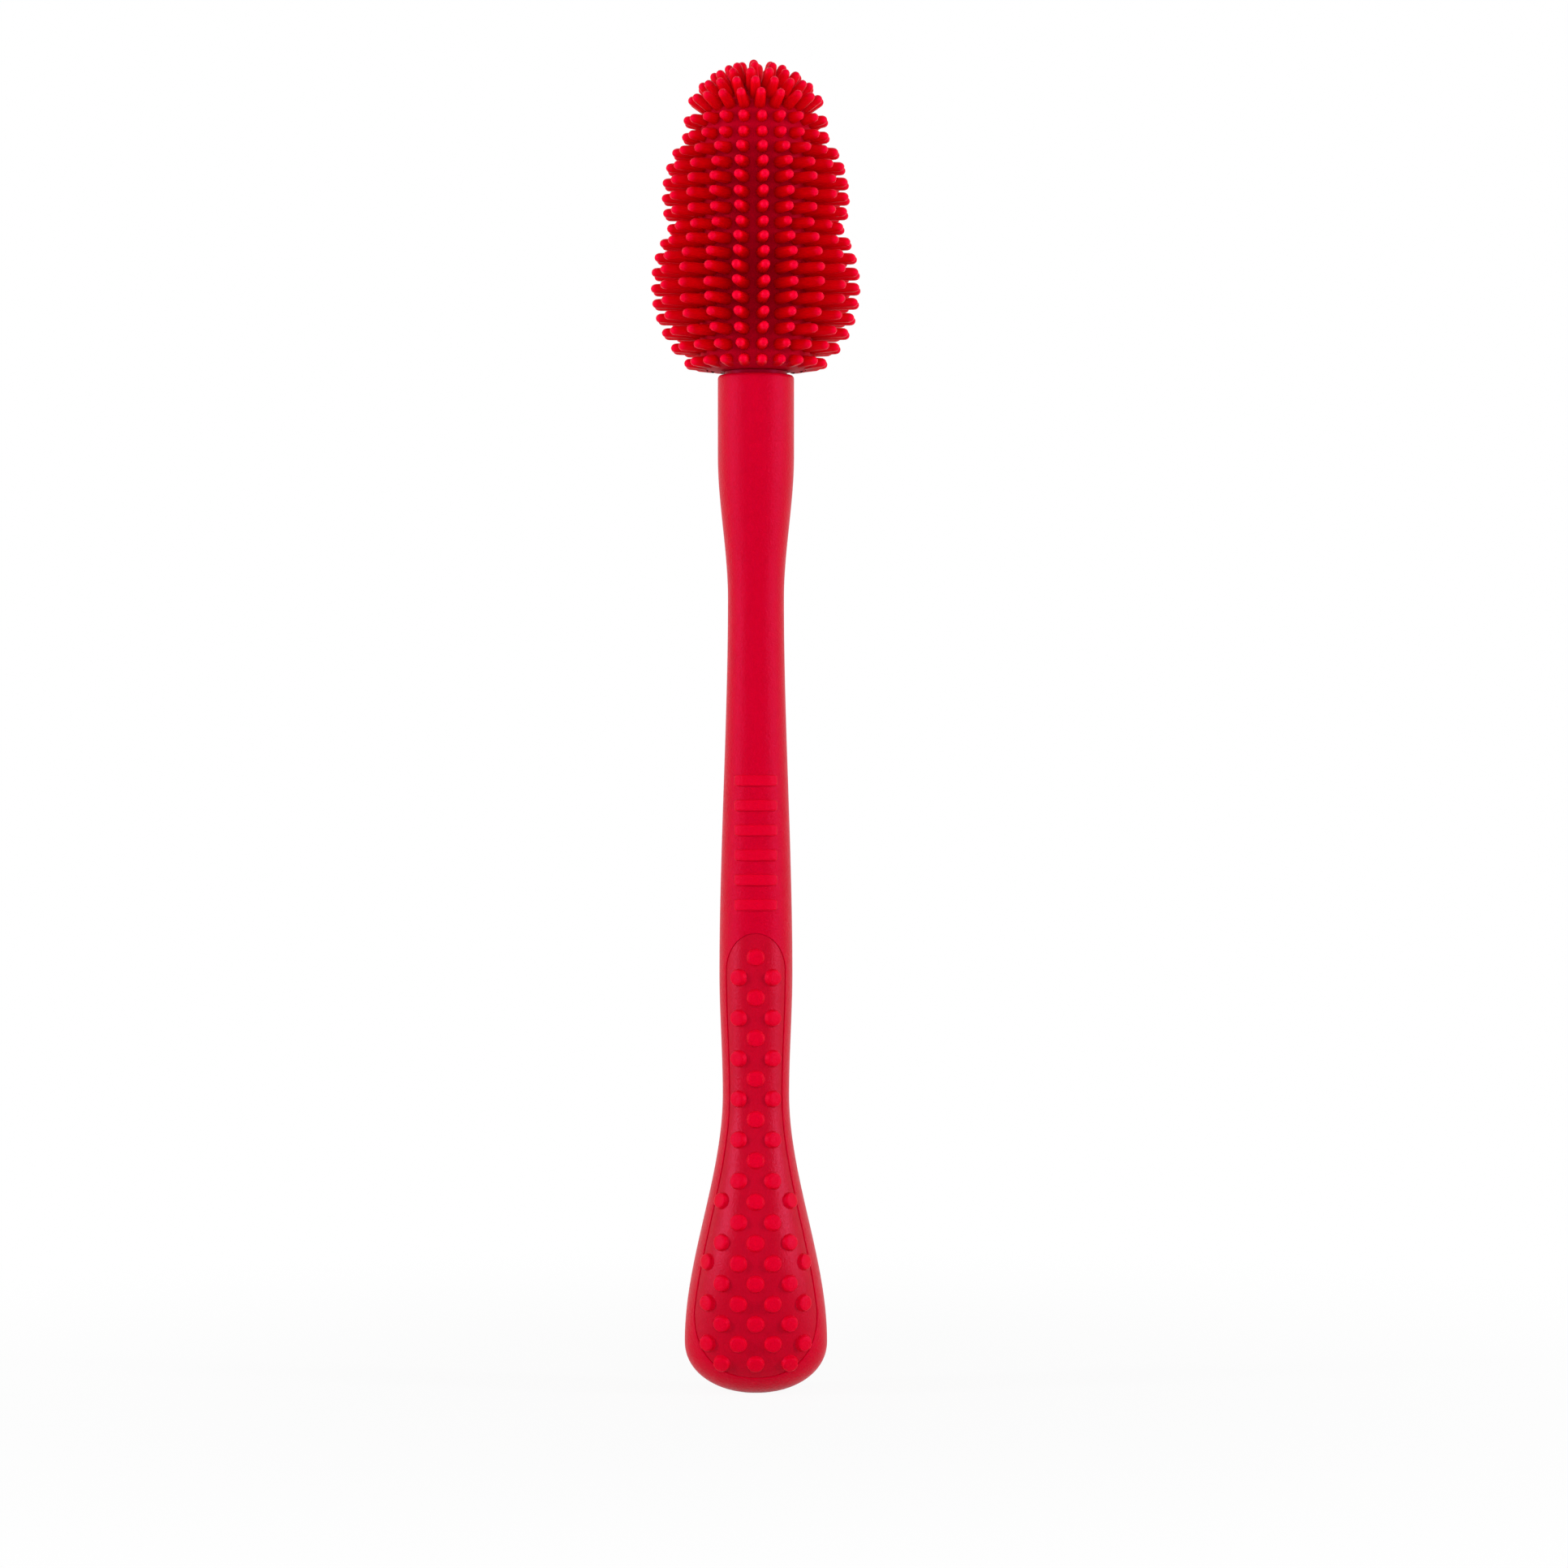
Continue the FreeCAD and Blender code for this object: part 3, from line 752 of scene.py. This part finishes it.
def barrel_profile():
    """Outline from the bore's blind end, out over the foot and up to the crown."""
    outline = [(0.0, HEAD_LOW + BORE[0][0])]
    outline += [(radius, HEAD_LOW + up) for up, radius in BORE]
    outline += [(radius, HEAD_LOW + up) for up, radius in FOOT]
    start = HEAD_LOW + FOOT[-1][0]
    side_steps = 60
    for i in range(1, side_steps + 1):
        z = start + (CROWN_CENTRE - start) * i / side_steps
        outline.append((barrel_radius(z), z))
    dome_steps = 14
    for i in range(1, dome_steps + 1):
        turn = math.pi / 2 * i / dome_steps
        outline.append((CROWN_RADIUS * math.cos(turn),
                        CROWN_CENTRE + CROWN_RADIUS * math.sin(turn)))
    return outline


def lathe(name, outline, sides=72):
    """A closed turned mesh about Z from an outline of (radius, height) points."""
    vertices, faces = [], []
    for radius, z in outline:
        for k in range(sides):
            turn = 2 * math.pi * k / sides
            vertices.append((radius * math.cos(turn), radius * math.sin(turn), z))
    for i in range(len(outline) - 1):
        for k in range(sides):
            a, b = i * sides + k, i * sides + (k + 1) % sides
            faces.append((a, b, b + sides, a + sides))
    return make_mesh(name, vertices, faces)


def backing_material():
    """The same silicone with painted shade: its colour darkens where it lies low between long
    fingers, where their shade falls.
    """
    material = soft_material(
        "backing silicone", srgb(196, 0, 34), srgb(182, 0, 28), 1.0, 0.48, 0.00006, 0.02, 0.10)
    tree = material.node_tree
    shader = tree.nodes["Principled BSDF"]
    shader.inputs["Specular IOR Level"].default_value = 0.06
    skin = [node for node in tree.nodes if node.type == "GROUP"][0]
    deep = add_node(tree, "ShaderNodeAttribute", attribute_name="deep")
    # Painted shade: the colour mixes towards a dark red by the share of finger standing over it.
    shade = add_node(tree, "ShaderNodeMix", data_type="RGBA")
    shade.inputs["B"].default_value = srgb(150, 0, 18)
    tree.links.new(deep.outputs["Fac"], shade.inputs["Factor"])
    tree.links.new(skin.outputs["Colour"], shade.inputs["A"])
    tree.links.new(shade.outputs["Result"], shader.inputs["Base Color"])
    return material


backing = lathe("head_backing", barrel_profile())
# Share of painted shade at each point: how far the longest finger there stands out past the
# barrel.
deep = backing.data.attributes.new("deep", "FLOAT", "POINT")
deep.data.foreach_set("value", [
    max(tip_reach(v.co.z) - barrel_radius(v.co.z), 0.0) / LONGEST_FINGER
    for v in backing.data.vertices])
backing.data.materials.append(backing_material())
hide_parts(*HEAD_NODES)
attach(backing, "head")

# ---- Fingers ------------------------------------------------------------------------
# Rings of soft round fingers moulded on the barrel, reaching out to three round lobes, the
# last two rings leaning up towards the crown, where more fan out over the dome. Each tapers
# from a flared root to a blunt rounded tip.
HEAD_TURN = math.radians(-2.7)
FINGERS_PER_RING = 20
LOBE_DEPTH_SHARE = 0.91
LEANS = {RING_COUNT - 2: 4.0, RING_COUNT - 1: 8.0}
CROWN_REACH = (0.0104, 0.0106)
# Crown rings as (degrees above level, number of fingers, turn in steps of the ring).
CROWN_RINGS = [(31.0, 20, 0.42), (43.5, 18, 0.12), (56.0, 14, 0.84), (68.5, 9, 0.0),
               (79.0, 4, 0.94)]
ROOT_RADIUS = 0.00080
TIP_RADIUS = 0.00064
TIP_LENGTH = 0.00080
FINGER_SINK = 0.0004


def finger_places():
    """Root points of all the fingers, with their directions and straight lengths."""
    roots, outs, stems = [], [], []

    def ring(z, root, reach, count, rise=0.0, turn=0.5, depth_share=1.0):
        for i in range(count):
            way = -math.pi / 2 + HEAD_TURN + (i + turn) * 2 * math.pi / count
            end = reach / math.hypot(math.cos(way), math.sin(way) / depth_share)
            flat = math.cos(rise)
            out = Vector((math.cos(way) * flat, math.sin(way) * flat, math.sin(rise)))
            roots.append(Vector((0, 0, z)) + out * root)
            outs.append(out)
            stems.append(end - root - TIP_LENGTH)

    for k in range(RING_COUNT):
        z = FIRST_RING + k * RING_PITCH
        root = barrel_radius(z) - FINGER_SINK
        lean = math.radians(LEANS.get(k, 0.0))
        ring(z - root * math.sin(lean), root, tip_reach(z), FINGERS_PER_RING, lean,
             depth_share=LOBE_DEPTH_SHARE)
    side, top = CROWN_REACH
    for degrees, count, turn in CROWN_RINGS:
        reach = side + (top - side) * degrees / 90
        ring(CROWN_CENTRE, CROWN_RADIUS - FINGER_SINK, reach, count, math.radians(degrees), turn)
    return roots, outs, stems


def finger_shape():
    """A finger with no stem: a flared root, then the rounded tip that a tree moves out."""
    profile = [(ROOT_RADIUS * 1.15, -0.0003), (ROOT_RADIUS, 0.0006), (TIP_RADIUS, 0.0),
               (TIP_RADIUS * 0.94, TIP_LENGTH * 0.38), (TIP_RADIUS * 0.76, TIP_LENGTH * 0.70),
               (TIP_RADIUS * 0.45, TIP_LENGTH * 0.92), (TIP_RADIUS * 0.12, TIP_LENGTH)]
    return turned("finger_shape", profile, 10, along=[0.0, 0.0, 1.0, 1.0, 1.0, 1.0, 1.0],
                  cap=[0.0, 0.0, 0.1, 0.5, 0.9, 1.0, 1.0])


def fingers_tree():
    """Stands a finger on each root along its direction and draws it out to its length."""
    tree, start, end = geometry_tree("fingers", [
        ("Finger", "NodeSocketObject"), ("Stray", "NodeSocketFloat"), ("Seed", "NodeSocketInt"),
        ("Finish", "NodeSocketMaterial")])
    link = tree.links.new
    finger = add_node(tree, "GeometryNodeObjectInfo")
    link(start.outputs["Finger"], finger.inputs["Object"])
    out = add_node(tree, "GeometryNodeInputNamedAttribute", data_type="FLOAT_VECTOR")
    fill(out, Name="out")
    chance = add_node(tree, "FunctionNodeRandomValue", data_type="FLOAT_VECTOR")
    chance.inputs["Min"].default_value = (-1, -1, -1)
    chance.inputs["Max"].default_value = (1, 1, 1)
    link(start.outputs["Seed"], chance.inputs["Seed"])
    small = add_node(tree, "ShaderNodeVectorMath", operation="SCALE")
    link(chance.outputs["Value"], small.inputs[0])
    link(start.outputs["Stray"], small.inputs["Scale"])
    bent = add_node(tree, "ShaderNodeVectorMath", operation="ADD")
    link(out.outputs["Attribute"], bent.inputs[0])
    link(small.outputs["Vector"], bent.inputs[1])
    unit = add_node(tree, "ShaderNodeVectorMath", operation="NORMALIZE")
    link(bent.outputs["Vector"], unit.inputs[0])
    keep = add_node(tree, "GeometryNodeStoreNamedAttribute", data_type="FLOAT_VECTOR")
    fill(keep, Name="out")
    link(start.outputs["Geometry"], keep.inputs["Geometry"])
    link(unit.outputs["Vector"], keep.inputs["Value"])
    turn = add_node(tree, "FunctionNodeAlignRotationToVector", axis="Z")
    link(out.outputs["Attribute"], turn.inputs["Vector"])
    stand = add_node(tree, "GeometryNodeInstanceOnPoints")
    link(keep.outputs["Geometry"], stand.inputs["Points"])
    link(finger.outputs["Geometry"], stand.inputs["Instance"])
    link(turn.outputs["Rotation"], stand.inputs["Rotation"])
    real = add_node(tree, "GeometryNodeRealizeInstances")
    link(stand.outputs["Instances"], real.inputs["Geometry"])
    along = add_node(tree, "GeometryNodeInputNamedAttribute", data_type="FLOAT")
    fill(along, Name="along")
    stem = add_node(tree, "GeometryNodeInputNamedAttribute", data_type="FLOAT")
    fill(stem, Name="stem")
    length = add_node(tree, "ShaderNodeMath", operation="MULTIPLY")
    link(along.outputs["Attribute"], length.inputs[0])
    link(stem.outputs["Attribute"], length.inputs[1])
    draw = add_node(tree, "ShaderNodeVectorMath", operation="SCALE")
    link(out.outputs["Attribute"], draw.inputs[0])
    link(length.outputs[0], draw.inputs["Scale"])
    move = add_node(tree, "GeometryNodeSetPosition")
    link(real.outputs["Geometry"], move.inputs["Geometry"])
    link(draw.outputs["Vector"], move.inputs["Offset"])
    paint = add_node(tree, "GeometryNodeSetMaterial")
    link(move.outputs["Geometry"], paint.inputs["Geometry"])
    link(start.outputs["Finish"], paint.inputs["Material"])
    link(paint.outputs["Geometry"], end.inputs["Geometry"])
    return tree


def finger_material():
    """The same silicone: painted shade darkens it towards the roots, pure red along a finger,
    and a painted crimson highlight lies on its end.
    """
    material = soft_material(
        "finger silicone", srgb(232, 0, 8), srgb(220, 0, 2), 1.0, 0.32, 0.00005, 0.02, 0.26)
    tree = material.node_tree
    shader = tree.nodes["Principled BSDF"]
    skin = [node for node in tree.nodes if node.type == "GROUP"][0]
    along = add_node(tree, "ShaderNodeAttribute", attribute_name="along")
    cap = add_node(tree, "ShaderNodeAttribute", attribute_name="cap")
    # Painted shade: darker red towards the root, where the fingers shade one another.
    stem = add_node(tree, "ShaderNodeMix", data_type="RGBA")
    stem.inputs["A"].default_value = srgb(184, 0, 6)
    outwards = add_node(tree, "ShaderNodeMath", operation="POWER")
    outwards.inputs[1].default_value = 0.5
    tree.links.new(along.outputs["Fac"], outwards.inputs[0])
    tree.links.new(outwards.outputs["Value"], stem.inputs["Factor"])
    tree.links.new(skin.outputs["Colour"], stem.inputs["B"])
    # Painted highlight: a crimson sheen mixed over the rounded end of each finger.
    painted_tip_highlight = add_node(tree, "ShaderNodeMix", data_type="RGBA")
    painted_tip_highlight.inputs["B"].default_value = srgb(238, 0, 44)
    tree.links.new(cap.outputs["Fac"], painted_tip_highlight.inputs["Factor"])
    tree.links.new(stem.outputs["Result"], painted_tip_highlight.inputs["A"])
    tree.links.new(painted_tip_highlight.outputs["Result"], shader.inputs["Base Color"])
    return material


roots, outs, stems = finger_places()
finger_form = finger_shape()
finger_roots = point_object("fingers", roots, out=outs, stem=stems)
fingers = run_tree(finger_roots, fingers_tree(), Finger=finger_form, Stray=0.018, Seed=7,
                   Finish=finger_material())
bpy.data.objects.remove(finger_form)
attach(fingers, "head")

# ---- Floor --------------------------------------------------------------------------
# A plain pale studio floor under the butt. The camera sees it almost white, with a trace
# of the brush's shadow.
FLOOR_HALF = 6.0


def white_rays(tree):
    """One for the rays that are to meet plain white: from the camera, mirrors and glass."""
    rays = add_node(tree, "ShaderNodeLightPath")
    share = rays.outputs["Is Camera Ray"]
    for kind in ("Is Glossy Ray", "Is Transmission Ray"):
        either = add_node(tree, "ShaderNodeMath", operation="MAXIMUM")
        tree.links.new(share, either.inputs[0])
        tree.links.new(rays.outputs[kind], either.inputs[1])
        share = either.outputs["Value"]
    return share


def pale_floor():
    """Near white to the camera, and a matt pale grey to the light that falls on it."""
    material, shader = new_material("pale floor")
    tree = material.node_tree
    shader.inputs["Base Color"].default_value = (0.80, 0.80, 0.80, 1)
    shader.inputs["Roughness"].default_value = 0.9
    shader.inputs["Specular IOR Level"].default_value = 0.0
    white = add_node(tree, "ShaderNodeEmission")
    fill(white, Color=(1, 1, 1, 1), Strength=1.0)
    place = add_node(tree, "ShaderNodeTexCoord")
    away = add_node(tree, "ShaderNodeVectorMath", operation="LENGTH")
    tree.links.new(place.outputs["Object"], away.inputs[0])
    whiter = add_node(tree, "ShaderNodeMapRange", interpolation_type="SMOOTHSTEP")
    fill(whiter, From_Min=0.02, From_Max=0.20, To_Min=0.93, To_Max=1.0)
    tree.links.new(away.outputs["Value"], whiter.inputs["Value"])
    share = add_node(tree, "ShaderNodeMath", operation="MULTIPLY")
    tree.links.new(whiter.outputs["Result"], share.inputs[0])
    tree.links.new(white_rays(tree), share.inputs[1])
    mix = add_node(tree, "ShaderNodeMixShader")
    tree.links.new(share.outputs[0], mix.inputs[0])
    tree.links.new(shader.outputs[0], mix.inputs[1])
    tree.links.new(white.outputs[0], mix.inputs[2])
    tree.links.new(mix.outputs[0], tree.nodes["Material Output"].inputs["Surface"])
    return material


corners = [(x * FLOOR_HALF, y * FLOOR_HALF, cad_low[2])
           for x, y in ((-1, -1), (1, -1), (1, 1), (-1, 1))]
floor_mesh = bpy.data.meshes.new("floor")
floor_mesh.from_pydata(corners, [], [(0, 1, 2, 3)])
floor = bpy.data.objects.new("floor", floor_mesh)
bpy.context.scene.collection.objects.link(floor)
floor_mesh.materials.append(pale_floor())

# ---- Light --------------------------------------------------------------------------
# Two tall strip softboxes beside the brush draw its long satin highlights; broad weak
# lights from the front and the back and an even pale surround fill the rest.
MIDDLE = Vector((0, 0, (cad_low[2] + cad_high[2]) / 2))


def area_light(name, azimuth, elevation, distance, size, power, glossy=True):
    """A rectangular light aimed at the brush; azimuth 0 stands on the camera's side."""
    lamp = bpy.data.lights.new(name, "AREA")
    lamp.shape = "RECTANGLE"
    lamp.size, lamp.size_y = size
    lamp.energy = power
    holder = bpy.data.objects.new(name, lamp)
    a, e = math.radians(azimuth), math.radians(elevation)
    away = Vector((math.sin(a) * math.cos(e), -math.cos(a) * math.cos(e), math.sin(e)))
    holder.location = MIDDLE + away * distance
    holder.rotation_euler = (-away).to_track_quat("-Z", "Y").to_euler()
    holder.visible_glossy = glossy
    holder.visible_camera = False
    bpy.context.scene.collection.objects.link(holder)


area_light("left_strip", -72, 4, 0.8, (0.10, 0.70), 5.0)
area_light("right_strip", 72, 4, 0.8, (0.10, 0.70), 5.0)
area_light("front_fill", 0, 8, 1.0, (0.9, 0.9), 5.8, glossy=False)
area_light("back_fill", 180, 8, 1.0, (0.9, 0.9), 2.2, glossy=False)

world = bpy.data.worlds.new("surround")
bpy.context.scene.world = world
world.use_nodes = True
sky = world.node_tree
ambient = sky.nodes["Background"]
fill(ambient, Color=(1, 1, 1, 1), Strength=0.25)
backdrop = add_node(sky, "ShaderNodeBackground")
fill(backdrop, Color=(1, 1, 1, 1), Strength=1.0)
choice = add_node(sky, "ShaderNodeMixShader")
sky.links.new(white_rays(sky), choice.inputs[0])
sky.links.new(ambient.outputs[0], choice.inputs[1])
sky.links.new(backdrop.outputs[0], choice.inputs[2])
sky.links.new(choice.outputs[0], sky.nodes["World Output"].inputs["Surface"])
bpy.context.scene.view_settings.view_transform = "Standard"

# ---- Camera -------------------------------------------------------------------------
# Level with the middle of the brush, about 0.6 m in front of it, with a long lens.
CAMERA_PLACE = Vector((0.00375, -0.600, 0.0812))
VIEW_WIDTH = 0.2095

lens = bpy.data.cameras.new("camera")
lens.sensor_width = 36.0
lens.lens = lens.sensor_width * -CAMERA_PLACE.y / VIEW_WIDTH
camera = bpy.data.objects.new("camera", lens)
camera.location = CAMERA_PLACE
camera.rotation_euler = (math.radians(90), 0, 0)
bpy.context.scene.collection.objects.link(camera)
bpy.context.scene.camera = camera
